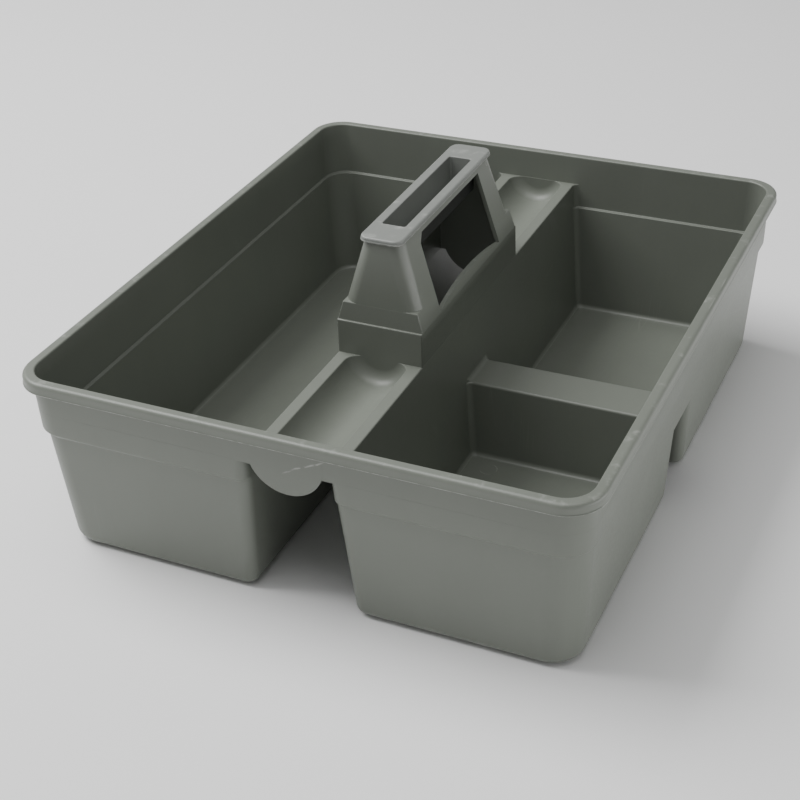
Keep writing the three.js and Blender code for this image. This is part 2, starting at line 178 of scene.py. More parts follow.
def skinned(name: str, rings: np.ndarray) -> bpy.types.Object:
    """Covers a stack of rings with quads and closes its two ends.

    Point j of ring i is joined to point j of ring i + 1, so the surface is a grid of two
    parameters: the place along the stack and the place round the ring.

    Args:
        name: the object's name.
        rings: ring points as an (m, n, 3) array.

    Returns:
        The closed solid.
    """
    count, around = rings.shape[:2]
    row = np.arange(count - 1)[:, None] * around
    here = np.arange(around)[None, :]
    after = np.roll(np.arange(around), -1)[None, :]
    quads = np.stack([row + here, row + after, row + around + after, row + around + here], axis=-1)
    last = (count - 1) * around
    faces = quads.reshape(-1, 4).tolist()
    faces.append(list(range(around))[::-1])
    faces.append(list(range(last, last + around)))
    return object_from(name, rings.reshape(-1, 3), faces)


def stacked(name: str, plan: Plan, levels: Sequence[Level]) -> bpy.types.Object:
    """A solid with the plan's outline, leaning in or out from level to level."""
    return skinned(name, np.stack([plan.ring(level) for level in levels]))


def extruded(name: str, outline: np.ndarray, axis: int, start: float, end: float) -> bpy.types.Object:
    """Carries a flat outline along an axis.

    Args:
        name: the object's name.
        outline: the outline's points on the two other axes, in their order, as an (n, 2) array.
        axis: 0 for X, 1 for Y, 2 for Z.
        start: where the prism begins on that axis.
        end: where it ends.

    Returns:
        The closed prism.
    """
    others = [k for k in range(3) if k != axis]
    rings = np.zeros((2, len(outline), 3))
    rings[:, :, others[0]] = outline[:, 0]
    rings[:, :, others[1]] = outline[:, 1]
    rings[0, :, axis] = start
    rings[1, :, axis] = end
    return skinned(name, rings)


def arc(centre: tuple[float, float], radius: float, start: float, end: float, steps: int) -> np.ndarray:
    """Points on a circle: the centre plus the radius times the cosine and sine of each angle."""
    angle = np.radians(np.linspace(start, end, steps + 1))
    return np.stack([centre[0] + radius * np.cos(angle), centre[1] + radius * np.sin(angle)], axis=1)


def combined(body: bpy.types.Object, joining: Joining, *tools: bpy.types.Object) -> bpy.types.Object:
    """Adds the tools to the body, or cuts them from it, and uses them up.

    Args:
        body: the solid that is changed.
        joining: what is done with each tool.
        *tools: closed solids, which are removed afterwards.

    Returns:
        The body.
    """
    for tool in tools:
        modifier = body.modifiers.new("combine", "BOOLEAN")
        modifier.operation = joining.value
        modifier.solver = "MANIFOLD"
        modifier.object = tool
        graph = bpy.context.evaluated_depsgraph_get()
        mesh = bpy.data.meshes.new_from_object(body.evaluated_get(graph))
        body.modifiers.clear()
        old = body.data
        body.data = mesh
        bpy.data.meshes.remove(old)
        used = tool.data
        bpy.data.objects.remove(tool)
        bpy.data.meshes.remove(used)
    return body


def rounded_base(z: float, radius: float, steps: int = 8) -> list[tuple[float, float]]:
    """Heights and extra insets of a wall that rounds into a flat base.

    The edge is a quarter circle: at turn t the height is z + radius (1 - cos t) and the wall lies
    radius (1 - sin t) further in.
    """
    turn = np.linspace(0.0, np.pi / 2, steps + 1)
    return list(zip(z + radius * (1 - np.cos(turn)), radius * (1 - np.sin(turn))))


def rounded_top(z: float, radius: float, steps: int = 6) -> list[tuple[float, float]]:
    """Heights and sideways shifts of a wall whose top edge is rounded over.

    The edge is a quarter circle: at turn t the height is z - radius (1 - sin t) and the wall has
    moved by radius (1 - cos t).
    """
    turn = np.linspace(0.0, np.pi / 2, steps + 1)
    return list(zip(z - radius * (1 - np.sin(turn)), radius * (1 - np.cos(turn))))


def finished(shape: bpy.types.Object, material: bpy.types.Material, sharp_above: float) -> None:
    """Shades a piece smoothly, keeps its sharp edges, and gives it its material.

    Args:
        shape: the piece.
        material: its finish.
        sharp_above: edges that turn by more than this many degrees stay sharp.
    """
    work = bmesh.new()
    work.from_mesh(shape.data)
    bmesh.ops.remove_doubles(work, verts=work.verts, dist=WELD)
    bmesh.ops.dissolve_degenerate(work, edges=work.edges, dist=WELD)
    work.to_mesh(shape.data)
    work.free()
    shape.data.shade_smooth()
    shape.data.set_sharp_from_angle(angle=math.radians(sharp_above))
    shape.data.materials.clear()
    shape.data.materials.append(material)
    weighted = shape.modifiers.new("even_shading", "WEIGHTED_NORMAL")
    weighted.keep_sharp = True
    weighted.weight = 60


# ---- Shader expressions -------------------------------------------------------------------


class Value:
    """A shader socket that can be used in ordinary arithmetic; each operation adds a Math node."""

    def __init__(self, palette: "Palette", socket: bpy.types.NodeSocket) -> None:
        """Wraps a socket.

        Args:
            palette: the material's node builder.
            socket: an output socket.
        """
        self.palette = palette
        self.socket = socket

    def _math(self, operation: str, *inputs: "Value | float", clamp: bool = False) -> "Value":
        """Adds one Math node."""
        settings = {"operation": operation, "use_clamp": clamp}
        values = {i: v.socket if isinstance(v, Value) else v for i, v in enumerate(inputs)}
        return Value(self.palette, self.palette.node("ShaderNodeMath", settings, values).outputs[0])

    def __add__(self, other: "Value | float") -> "Value":
        """Sum."""
        return self._math("ADD", self, other)

    __radd__ = __add__

    def __sub__(self, other: "Value | float") -> "Value":
        """Difference."""
        return self._math("SUBTRACT", self, other)

    def __rsub__(self, other: float) -> "Value":
        """Difference from a number."""
        return self._math("SUBTRACT", other, self)

    def __mul__(self, other: "Value | float") -> "Value":
        """Product."""
        return self._math("MULTIPLY", self, other)

    __rmul__ = __mul__

    def __abs__(self) -> "Value":
        """Size without sign."""
        return self._math("ABSOLUTE", self)

    def squared(self) -> "Value":
        """This value times itself."""
        return self._math("POWER", self, 2.0)

    def root(self) -> "Value":
        """Square root."""
        return self._math("SQRT", self)

    def highest(self, other: "Value | float") -> "Value":
        """The larger of two values."""
        return self._math("MAXIMUM", self, other)

    def clamped(self) -> "Value":
        """This value held between 0 and 1."""
        return self._math("ADD", self, 0.0, clamp=True)

    def rising(self, low: float, high: float) -> "Value":
        """Smooth step: 0 below low, 1 above high."""
        settings = {"interpolation_type": "SMOOTHSTEP"}
        values = {0: self.socket, 1: low, 2: high, 3: 0.0, 4: 1.0}
        return Value(self.palette, self.palette.node("ShaderNodeMapRange", settings, values).outputs[0])

    def falling(self, low: float, high: float) -> "Value":
        """Smooth step down: 1 below low, 0 above high."""
        return 1.0 - self.rising(low, high)

    def near(self, middle: float, width: float) -> "Value":
        """1 at the middle, fading to 0 at a distance of width."""
        return abs(self - middle).falling(0.0, width)


class Palette:
    """Builds one material's nodes."""

    def __init__(self, name: str) -> None:
        """Starts an empty material.

        Args:
            name: the material's name.
        """
        self.material = bpy.data.materials.new(name)
        self.material.use_nodes = True
        self.tree = self.material.node_tree
        self.tree.nodes.clear()
        self.place = self.node("ShaderNodeTexCoord").outputs["Object"]
        split = self.node("ShaderNodeSeparateXYZ", values={0: self.place})
        self.x, self.y, self.z = (Value(self, socket) for socket in split.outputs)

    def node(self, kind: str, settings: dict | None = None, values: dict | None = None) -> bpy.types.Node:
        """Adds a node.

        Args:
            kind: the node's type.
            settings: attributes, set before any socket.
            values: numbers or output sockets for the input sockets, by name or place.

        Returns:
            The node.
        """
        made = self.tree.nodes.new(kind)
        for key, setting in (settings or {}).items():
            setattr(made, key, setting)
        for key, value in (values or {}).items():
            if isinstance(value, Value):
                value = value.socket
            if isinstance(value, bpy.types.NodeSocket):
                self.tree.links.new(value, made.inputs[key])
            else:
                made.inputs[key].default_value = value
        return made

    def stretched(self, scale: tuple[float, float, float], turn: float = 0.0) -> bpy.types.NodeSocket:
        """Object coordinates scaled by axis and turned about Z, for patterns with a direction."""
        values = {"Vector": self.place, "Rotation": (0.0, 0.0, turn), "Scale": scale}
        return self.node("ShaderNodeMapping", {"vector_type": "POINT"}, values).outputs[0]

    def noise(self, scale: float, detail: float = 2.0, roughness: float = 0.5,
              place: bpy.types.NodeSocket | None = None) -> Value:
        """Cloudy noise from 0 to 1, its scale in cells per metre."""
        values = {"Vector": place or self.place, "Scale": scale, "Detail": detail, "Roughness": roughness}
        return Value(self, self.node("ShaderNodeTexNoise", {"noise_dimensions": "3D"}, values).outputs[0])

    def cell_edge(self, place: bpy.types.NodeSocket) -> Value:
        """Distance to the nearest edge between cells, with one cell to a unit of the place."""
        values = {"Vector": place, "Scale": 1.0}
        made = self.node("ShaderNodeTexVoronoi", {"feature": "DISTANCE_TO_EDGE"}, values)
        return Value(self, made.outputs["Distance"])

    def facing_up(self) -> Value:
        """How far the surface faces up: 1 on a floor, 0 on a wall, -1 underneath."""
        normal = self.node("ShaderNodeNewGeometry").outputs["Normal"]
        return Value(self, self.node("ShaderNodeSeparateXYZ", values={0: normal}).outputs[2])

    def mixed(self, first: tuple | bpy.types.NodeSocket, second: tuple | bpy.types.NodeSocket,
              amount: Value) -> bpy.types.NodeSocket:
        """One colour laid over another by an amount."""
        settings = {"data_type": "RGBA", "blend_type": "MIX", "clamp_factor": True}
        values = {0: amount, 6: first, 7: second}
        return self.node("ShaderNodeMix", settings, values).outputs[2]

    def bump(self, height: Value, distance: float, strength: float = 1.0,
             under: bpy.types.NodeSocket | None = None) -> bpy.types.NodeSocket:
        """A normal from a height; distance is the relief of a height of 1, in metres."""
        values = {"Height": height, "Distance": distance, "Strength": strength}
        if under is not None:
            values["Normal"] = under
        return self.node("ShaderNodeBump", values=values).outputs[0]

    def surface(self, **sockets: "Value | bpy.types.NodeSocket | float | tuple") -> bpy.types.Material:
        """Closes the material with a Principled shader; underscores in names stand for spaces."""
        values = {name.replace("_", " "): value for name, value in sockets.items()}
        shader = self.node("ShaderNodeBsdfPrincipled", values=values)
        self.node("ShaderNodeOutputMaterial", values={0: shader.outputs[0]})
        return self.material


# ---- Finishes -----------------------------------------------------------------------------


@dataclass(frozen=True)
class MouldedPlastic:
    """Satin moulded polypropylene with its flow marks, fine texture, scuffs and scratches, and an optional
    painted shade below a plate.
    """

    name: str
    colour: tuple[float, float, float]
    pale: tuple[float, float, float]
    rim_height: float
    lip: float
    reach: tuple[float, float]
    # Height and distance from the middle below which a channel's outside is painted near-black, as painted
    # shade under the plate.
    painted_shade_below: tuple[float, float] | None = None
    gate: tuple[float, float] | None = None
    scuff: tuple[float, float] | None = None
    pin: tuple[float, float] | None = None
    roughness: float = 0.4
    floor_roughness: float = 0.2
    shade: tuple[float, float] = (0.84, 1.13)
    # Near-black colour of that painted shade.
    painted_shade_colour: tuple[float, float, float] = (0.012, 0.013, 0.012)
    gate_radius: float = 5.4 * MM
    pin_radius: float = 1.3 * MM
    scuff_slope: float = 0.536
    scuff_middle: float = 11.0 * MM

    def scratches(self, nodes: Palette, turn: float, across: float, along: float) -> Value:
        """Fine straight scratches: the thin edges of cells that are stretched along one direction.

        Args:
            nodes: the material's node builder.
            turn: the scratches' direction about Z, in radians.
            across: cells per metre across them.
            along: cells per metre along them.

        Returns:
            1 on a scratch, 0 off it, broken up by a slow noise.
        """
        edge = nodes.cell_edge(nodes.stretched((across, along, along), turn))
        patches = nodes.noise(14.0, 2.0, 0.6, nodes.stretched((1.0, 1.0, 1.0), turn + 1.0))
        return edge.falling(0.003, 0.012) * patches.rising(0.6, 0.72)

    def flash_line(self, nodes: Palette, up: Value) -> Value:
        """The beaded pale line that the mould leaves along the outside of the lip."""
        outer = (abs(nodes.x) - self.reach[0]).highest(abs(nodes.y) - self.reach[1])
        line = nodes.z.near(self.lip + 0.3 * MM, 0.55 * MM) * outer.rising(-6 * MM, -5 * MM)
        beads = nodes.noise(230.0, 2.0, 0.6).rising(0.42, 0.62)
        return line * up.falling(0.3, 0.6) * (0.2 + 0.7 * beads)

    def painted_shade_part(self, nodes: Palette) -> Value:
        """Painted shade on the outside of a channel below a plate, from a height and a distance from the
        middle.
        """
        height, side = self.painted_shade_below
        below = nodes.z.falling(height - 0.6 * MM, height - 0.2 * MM)
        return below * abs(nodes.x).rising(side, side + 0.4 * MM)

    def gate_ring(self, nodes: Palette, floor: Value) -> Value:
        """The faint ring where the plastic entered the mould, on a floor."""
        away = ((nodes.x - self.gate[0]).squared() + (nodes.y - self.gate[1]).squared()).root()
        return away.near(self.gate_radius, 0.6 * MM) * floor * nodes.noise(90.0, 2.0, 0.5).rising(0.35, 0.6)

    def pin_mark(self, nodes: Palette) -> Value:
        """The small round mark of an ejector pin, on a wall that faces right."""
        away = ((nodes.y - self.pin[0]).squared() + (nodes.z - self.pin[1]).squared()).root()
        return away.near(self.pin_radius, 0.5 * MM) * nodes.x.rising(8 * MM, 9 * MM)

    def scuff_line(self, nodes: Palette) -> Value:
        """A short slanted scratch, broken and a little wavy, on the front wall."""
        along = nodes.x - self.scuff[0]
        wobble = (nodes.noise(70.0, 2.0, 0.5) - 0.5) * 5.0 * MM
        line = (nodes.z - self.scuff[1] - along * self.scuff_slope + wobble).near(0.0, 0.9 * MM)
        line = line * abs(along - self.scuff_middle).falling(9 * MM, 14 * MM)
        line = line * nodes.y.falling(-190 * MM, -186 * MM)
        return line * nodes.noise(160.0, 3.0, 0.6).rising(0.38, 0.55)

    def build(self) -> bpy.types.Material:
        """Makes the material.

        Returns:
            The finished material.
        """
        nodes = Palette(self.name)
        up = nodes.facing_up()
        floor = up.rising(0.8, 0.98) * nodes.z.falling(20 * MM, 30 * MM)
        top = up.rising(0.5, 0.9) * nodes.z.rising(self.rim_height - 4 * MM, self.rim_height - 2 * MM)

        clouds = nodes.noise(9.0, 3.0, 0.55)
        flow = nodes.noise(5.0, 3.0, 0.6, nodes.stretched((6.0, 6.0, 1.2)))
        grain = nodes.noise(1500.0, 2.0, 0.6)
        speck = nodes.noise(420.0, 2.0, 0.5)
        dust = nodes.noise(60.0, 5.0, 0.7).rising(0.6, 0.8) * nodes.noise(12.0, 2.0, 0.5).rising(0.5, 0.7)

        long_marks = self.scratches(nodes, 0.35, 180.0, 3.0)
        cross_marks = self.scratches(nodes, 1.75, 220.0, 4.0)
        worn = long_marks.highest(cross_marks * 0.8) * (0.15 + 0.85 * top)

        rubbed = nodes.noise(45.0, 4.0, 0.65).rising(0.48, 0.72)
        foot = nodes.z.falling(1 * MM, 7 * MM) * rubbed * up.falling(-0.2, 0.3)
        edge = top * nodes.noise(110.0, 3.0, 0.6).rising(0.55, 0.75)
        scuffs = foot * 0.5 + edge * 0.3 + dust * 0.08 + self.flash_line(nodes, up)

        tone = 0.5 + (clouds - 0.5) * 0.5 + (flow - 0.5) * 0.4 + (speck - 0.5) * 0.16
        dark = tuple(self.shade[0] * part for part in self.colour)
        light = tuple(min(1.0, self.shade[1] * part) for part in self.colour)
        colour = nodes.mixed((*dark, 1.0), (*light, 1.0), tone.clamped())
        pale = scuffs + worn * 0.55
        height = grain * 0.6 + speck * 0.5 - worn * 2.2

        # Painted shade: the channel's outside below the plate is coloured near-black where the plate's
        # overhang leaves it in shadow.
        if self.painted_shade_below is not None:
            colour = nodes.mixed(colour, (*self.painted_shade_colour, 1.0), self.painted_shade_part(nodes))
        if self.gate is not None:
            ring = self.gate_ring(nodes, floor)
            pale = pale + ring * 0.22
            height = height + ring * 3.0
        if self.pin is not None:
            mark = self.pin_mark(nodes)
            pale = pale + mark * 0.3
            height = height + mark * 4.0
        if self.scuff is not None:
            pale = pale + self.scuff_line(nodes) * 0.7

        colour = nodes.mixed(colour, (*self.pale, 1.0), pale.clamped())
        gloss = floor * (self.roughness - self.floor_roughness)
        rough = self.roughness - gloss + (clouds - 0.5) * 0.1 + (speck - 0.5) * 0.12 + pale * 0.3
        normal = nodes.bump(height, 0.012 * MM, 0.8)
        ripple = nodes.noise(22.0, 2.0, 0.45)
        normal = nodes.bump(ripple, 0.5 * MM, 0.5, normal)
        return nodes.surface(
            Base_Color=colour,
            Roughness=rough.clamped(),
            Normal=normal,
            Specular_IOR_Level=0.5,
            IOR=1.49,
        )


@dataclass(frozen=True)
class PaleFloor:
    """Matt pale studio paper with a faint tooth."""

    name: str = "pale_paper"
    colour: tuple[float, float, float] = (0.92, 0.92, 0.92)

    def build(self) -> bpy.types.Material:
        """Makes the material.

        Returns:
            The finished material.
        """
        nodes = Palette(self.name)
        clouds = nodes.noise(2.0, 3.0, 0.5)
        tooth = nodes.noise(900.0, 2.0, 0.6)
        dark = tuple(0.985 * part for part in self.colour)
        colour = nodes.mixed((*dark, 1.0), (*self.colour, 1.0), clouds)
        normal = nodes.bump(tooth, 0.03 * MM, 0.4)
        return nodes.surface(Base_Color=colour, Roughness=0.85, Normal=normal)


# ---- The tray moulding --------------------------------------------------------------------


@dataclass
class TrayMoulding:
    """The tray: rim, walls, three bins, troughed spine, bridge and handle column, as one shell."""

    wall: float = 2.5 * MM
    floor: float = 3.0 * MM
    upper_draft: float = 1.5
    lower_draft: float = 3.5
    inner_draft: float = 4.2
    rim_overhang: float = 4.6 * MM
    rim_corner: float = 22.0 * MM
    rim_shoulder: float = 3.0 * MM
    rim_inner_round: float = 1.1 * MM
    lip_drop: float = 7.0 * MM
    lip_wall: float = 2.2 * MM
    wall_corner: float = 18.5 * MM
    step_height: float = 80.0 * MM
    step_depth: float = 2.0 * MM
    step_slope: float = 3.5 * MM
    step_draft: float = 2.0
    inner_step_slope: float = 0.9 * MM
    inner_corner: float = 4.0 * MM
    foot_radius: float = 7.0 * MM
    floor_fillet: float = 3.0 * MM
    spine_width: float = 54.0 * MM
    ridge_round: float = 0.9 * MM
    trough_radius: float = 20.0 * MM
    trough_depth: float = 15.0 * MM
    trough_fillet: float = 8.0 * MM
    bridge_width: float = 30.0 * MM
    bridge_centre: float = -1.5 * MM
    bridge_fillet: float = 3.0 * MM
    bridge_edge: float = 1.5 * MM
    column_draft: float = 1.0
    column_corner: float = 0.8 * MM
    ledge_rise: float = 21.5 * MM
    ledge_depth: float = 1.3 * MM
    ledge_edge: float = 0.9 * MM
    shoulder_rise: float = 33.0 * MM
    upright_corner: float = 9.0 * MM
    grip_overhang: float = 1.2 * MM
    opening_length: float = 94.0 * MM
    opening_top_length: float = 91.0 * MM
    opening_rise: float = 22.5 * MM
    opening_drop: float = 3.2 * MM
    opening_crown: float = 4.5 * MM
    opening_gusset: float = 5.0 * MM
    foot_corner_share: float = 0.55
    floor_corner_share: float = 0.8
    below: float = 10.0 * MM
    past: float = 1.0 * MM
    replaced: tuple[str, ...] = (
        "rim_band", "left_bin", "front_right_bin", "rear_right_bin", "cross_bridge",
        "front_trough", "rear_trough", "handle_column",
    )
    shell: bpy.types.Object | None = field(default=None, init=False)

    def __post_init__(self) -> None:
        """Reads the overall sizes and heights from the frame."""
        low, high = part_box("rim_band")
        self.half_width, self.half_length = high.x, high.y
        self.rim_height = high.z
        self.ridge_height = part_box("front_trough")[1].z
        self.bridge_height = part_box("cross_bridge")[0].z + self.wall
        column_low, column_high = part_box("handle_column")
        self.column_half = round(column_high.y, 3)
        self.column_top = column_high.z
        grip_low, grip_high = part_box("grip_channel")
        self.grip_half = (grip_high.x, grip_high.y)
        self.ledge_height = self.ridge_height + self.ledge_rise
        self.shoulder = self.ridge_height + self.shoulder_rise
        self.sill = self.ridge_height + self.opening_rise
        self.opening_top = self.column_top - self.opening_drop

        self.step_inset = self.rim_overhang + self.lean(self.rim_height - self.step_height, self.upper_draft)
        side = self.half_width - self.step_inset - self.wall
        end = self.half_length - self.step_inset - self.wall
        spine = self.spine_width / 2 - self.inner(self.ridge_height)
        bridge = self.bridge_width / 2 - self.inner(self.bridge_height)
        front, back = self.bridge_centre - bridge, self.bridge_centre + bridge
        outer, inner = self.wall_corner - self.wall, self.inner_corner
        self.well = Plan(-side, side, -end, end, (outer, outer, outer, outer))
        self.left = Bin(Plan(-side, -spine, -end, end, (outer, inner, inner, outer)), ("right",))
        self.right = Bin(Plan(spine, side, -end, end, (inner, outer, outer, inner)), ("left",))
        self.front_right = Bin(Plan(spine, side, -end, front, (inner, outer, inner, inner)), ("left", "back"))
        self.rear_right = Bin(Plan(spine, side, back, end, (inner, inner, outer, inner)), ("left", "front"))
        self.trough_centre = self.ridge_height - self.trough_depth + self.trough_radius
        self.ridge_bottom = self.ridge_height - self.wall
        self.bridge_bottom = self.bridge_height - self.wall

    @staticmethod
    def lean(height: float, degrees: float) -> float:
        """How far a drafted wall moves over a height."""
        return height * math.tan(math.radians(degrees))

    def lower(self, z: float) -> float:
        """Inset of a bin's outer wall below the step."""
        return self.step_depth + self.lean(self.step_height - z, self.lower_draft)

    def upper(self, z: float) -> float:
        """Inset of a wall above the step; negative, since it leans out going up."""
        return self.lean(self.step_height - z, self.upper_draft)

    def inner(self, z: float) -> float:
        """Inset of a wall at the spine or the bridge, which runs straight past the step."""
        return self.lean(self.step_height - z, self.inner_draft)

    def bin_level(self, shape: Bin, z: float, outer: float, extra: float = 0.0, shrink: float = 0.0) -> Level:
        """One level of a bin.

        Args:
            shape: the bin.
            z: its height.
            outer: the inset of the outer walls there.
            extra: a further inset of every wall.
            shrink: what is taken off the corner radii.

        Returns:
            The level.
        """
        insets = {side: outer + extra for side in ("left", "right", "front", "back")}
        insets.update({side: self.inner(z) + extra for side in shape.inner})
        return Level(z, shrink=shrink, **insets)

    def step_levels(self, shape: Bin, middle: float, fall: float) -> list[Level]:
        """The step's profile: an S of two equal arcs, drawn as half a cosine wave over its height."""
        levels = []
        for share in np.linspace(0.0, 1.0, 9):
            wave = (1 + math.cos(math.pi * share)) / 2
            outer = self.step_depth * wave + self.lean(fall * (0.5 - share), self.step_draft)
            levels.append(self.bin_level(shape, middle + fall * (share - 0.5), outer))
        return levels

    def base_levels(self, shape: Bin, z: float, radius: float, shrink: float) -> list[Level]:
        """Levels of a bin whose walls round into a flat base; shrink is the corners' share of it."""
        return [
            self.bin_level(shape, height, self.lower(height), extra, extra * shrink)
            for height, extra in rounded_base(z, radius)
        ]

    def bin_outside(self, shape: Bin, top: float | None = None) -> bpy.types.Object:
        """A bin's outer block: a rounded foot, drafted walls and, with no top given, the step."""
        levels = self.base_levels(shape, 0.0, self.foot_radius, self.foot_corner_share)
        levels += self.upper_outside(shape) if top is None else [self.bin_level(shape, top, self.lower(top))]
        return stacked("outside", shape.plan.grown(self.wall), levels)

    def upper_outside(self, shape: Bin) -> list[Level]:
        """Levels of a bin's outside from the step to the spine's underside."""
        top = self.ridge_bottom + 0.5 * self.past
        step = self.step_levels(shape, self.step_height, self.step_slope)
        return [*step, self.bin_level(shape, top, self.upper(top))]

    def upper_hollow(self, shape: Bin, top: float) -> list[Level]:
        """Levels of a bin's hollow from the step up; the edge at the spine is rounded over."""
        levels = self.step_levels(shape, self.step_height + 0.1 * MM, self.inner_step_slope)
        for z, shift in rounded_top(self.ridge_height, self.ridge_round, 5):
            levels.append(self.bin_level(shape, z, self.upper(z)).eased(shape.inner[0], shift))
        return [*levels, replace(levels[-1], z=top)]

    def short_hollow(self, shape: Bin) -> bpy.types.Object:
        """A short bin's hollow, up to just over the bridge, whose long edge it rounds."""
        levels = self.base_levels(shape, self.floor, self.floor_fillet, self.floor_corner_share)
        side = shape.inner[1]
        for z, shift in rounded_top(self.bridge_height, self.bridge_edge):
            levels.append(self.bin_level(shape, z, self.lower(z)).eased(side, shift))
        top = self.bridge_height + self.bridge_fillet
        last = self.bin_level(shape, top, self.lower(top))
        levels.append(replace(last, **{side: getattr(levels[-1], side)}))
        return stacked("hollow", shape.plan, levels)

    def rim(self) -> bpy.types.Object:
        """The rim's flange: a rounded shoulder over a lip that turns down, hollow underneath."""
        corner = (self.rim_corner,) * 4
        plan = Plan(-self.half_width, self.half_width, -self.half_length, self.half_length, corner)
        bottom = self.rim_height - self.lip_drop
        levels = [
            Level.even(bottom, 0.45 * MM),
            Level.even(bottom + 0.35 * MM, 0.06 * MM),
            Level.even(bottom + 0.8 * MM, 0.02 * MM),
            Level.even(bottom + 1.3 * MM, 0.28 * MM),
        ]
        for turn in np.linspace(0.0, np.pi / 2, 9):
            rounding = self.rim_shoulder * (1 - math.cos(turn))
            z = self.rim_height - self.rim_shoulder * (1 - math.sin(turn))
            levels.append(Level.even(z, 0.28 * MM * (1 - turn) * (turn < 1) + rounding, rounding))
        flange = stacked("flange", plan, levels)
        under = [bottom - self.past, self.rim_height - self.wall]
        ring = stacked("ring", plan, [Level.even(z, self.lip_wall, self.lip_wall) for z in under])
        inset = self.rim_overhang
        core = stacked("core", plan, [Level.even(z - i * MM, inset, inset) for i, z in enumerate(under, -1)])
        combined(ring, Joining.CUT, core)
        return combined(flange, Joining.CUT, ring)

    def band(self, bottom: float) -> bpy.types.Object:
        """Solid block of the upper walls, from the given height to the rim's top."""
        z = self.rim_height - 0.2 * MM
        return stacked("band", self.well.grown(self.wall), [Level.even(bottom), Level.even(z, self.upper(z))])

    def over_spine(self) -> bpy.types.Object:
        """The open space above the spine, flared at the rim's rounded inner edge."""
        levels = [Level.even(self.ridge_height, self.upper(self.ridge_height))]
        for z, flare in rounded_top(self.rim_height, self.rim_inner_round):
            levels.append(Level.even(z, self.upper(z) - flare, -flare))
        last = levels[-1]
        levels.append(Level.even(self.rim_height + self.past, last.left, last.shrink))
        return stacked("over_spine", self.well, levels)

    def trough_bar(self, half: float) -> bpy.types.Object:
        """The round outside of the trough, as a bar along Y."""
        outline = arc((0.0, self.trough_centre), self.trough_radius + self.wall, 0.0, 357.5, 143)
        return extruded("bar", outline, 1, -half, half)

    def trough_outline(self, radius: float) -> np.ndarray:
        """The trough's section: a round bottom whose sides open in a small round at the ridges.

        The small round is a circle outside the large one, so their centres lie radius + round
        apart; the reach is its horizontal share by Pythagoras.

        Args:
            radius: the round bottom's radius.

        Returns:
            The outline's X and Z, anticlockwise, as an (n, 2) array.
        """
        flare = self.ridge_round
        sunk = self.trough_centre - self.ridge_height + flare
        reach = math.sqrt((radius + flare) ** 2 - sunk ** 2)
        angle = math.degrees(math.atan2(sunk, reach))
        right = arc((reach, self.ridge_height - flare), flare, 180.0 - angle, 90.0, 6)
        left = arc((-reach, self.ridge_height - flare), flare, 90.0, angle, 6)
        bottom = arc((0.0, self.trough_centre), radius, 180.0 + angle, 360.0 - angle, 72)
        top = np.array([[reach, self.ridge_height + self.past], [-reach, self.ridge_height + self.past]])
        return np.concatenate([bottom[1:-1], right, top, left])

    def trough_hollow(self, start: float, end: float) -> bpy.types.Object:
        """The trough between two places along Y, with a fillet at both ends.

        At turn t of the fillet the place is fillet (1 - cos t) from the end and the trough's radius
        is less by fillet (1 - sin t).

        Args:
            start: where it begins.
            end: where it ends.

        Returns:
            The solid to cut away.
        """
        turn = np.linspace(0.0, np.pi / 2, 11)
        fallen = self.trough_fillet * (1 - np.cos(turn))
        radii = self.trough_radius - self.trough_fillet * (1 - np.sin(turn))
        places = np.concatenate([start + fallen, (end - fallen)[::-1]])
        sections = [self.trough_outline(radius) for radius in np.concatenate([radii, radii[::-1]])]
        rings = np.zeros((len(places), len(sections[0]), 3))
        rings[:, :, [0, 2]] = np.stack(sections)
        rings[:, :, 1] = places[:, None]
        return skinned("trough", rings)

    def column_plan(self, half_x: float, half_y: float, radius: float) -> Plan:
        """A plan centred on the column."""
        return Plan(-half_x, half_x, -half_y, half_y, (radius,) * 4, 8)

    def column_level(self, z: float, extra: float = 0.0) -> Level:
        """One level of the column: upright up to the ledge, then leaning in evenly to the grip."""
        top_x, top_y = (half - self.grip_overhang for half in self.grip_half)
        ledge_lean = self.lean(self.ledge_rise, self.column_draft)
        share = max(0.0, z - self.ledge_height) / (self.column_top - self.ledge_height)
        across = (self.spine_width / 2 - top_x) * share
        along = min(ledge_lean, self.lean(z - self.ridge_height, self.column_draft))
        fall = self.column_half - self.ledge_depth - ledge_lean - top_y
        return Level.sides(z, across + extra, along + fall * share + extra)

    def uprights(self, inset: float, bottom: float, ends: Sequence[float]) -> bpy.types.Object:
        """The round-cornered block of the uprights, which tapers from the shoulder to the grip.

        Args:
            inset: how far it lies inside the uprights' outer faces.
            bottom: the height of its straight foot.
            ends: its heights at the grip.

        Returns:
            The solid.
        """
        shoulder = self.column_level(self.shoulder)
        half_x = self.spine_width / 2 - shoulder.left
        half_y = self.column_half - self.ledge_depth - shoulder.front
        taper_x = half_x - self.grip_half[0] + self.grip_overhang
        taper_y = half_y - self.grip_half[1] + self.grip_overhang
        plan = self.column_plan(half_x - inset, half_y - inset, self.upright_corner - inset)
        levels = [Level.even(bottom), Level.even(self.shoulder)]
        return stacked("uprights", plan, levels + [Level.sides(z, taper_x, taper_y) for z in ends])

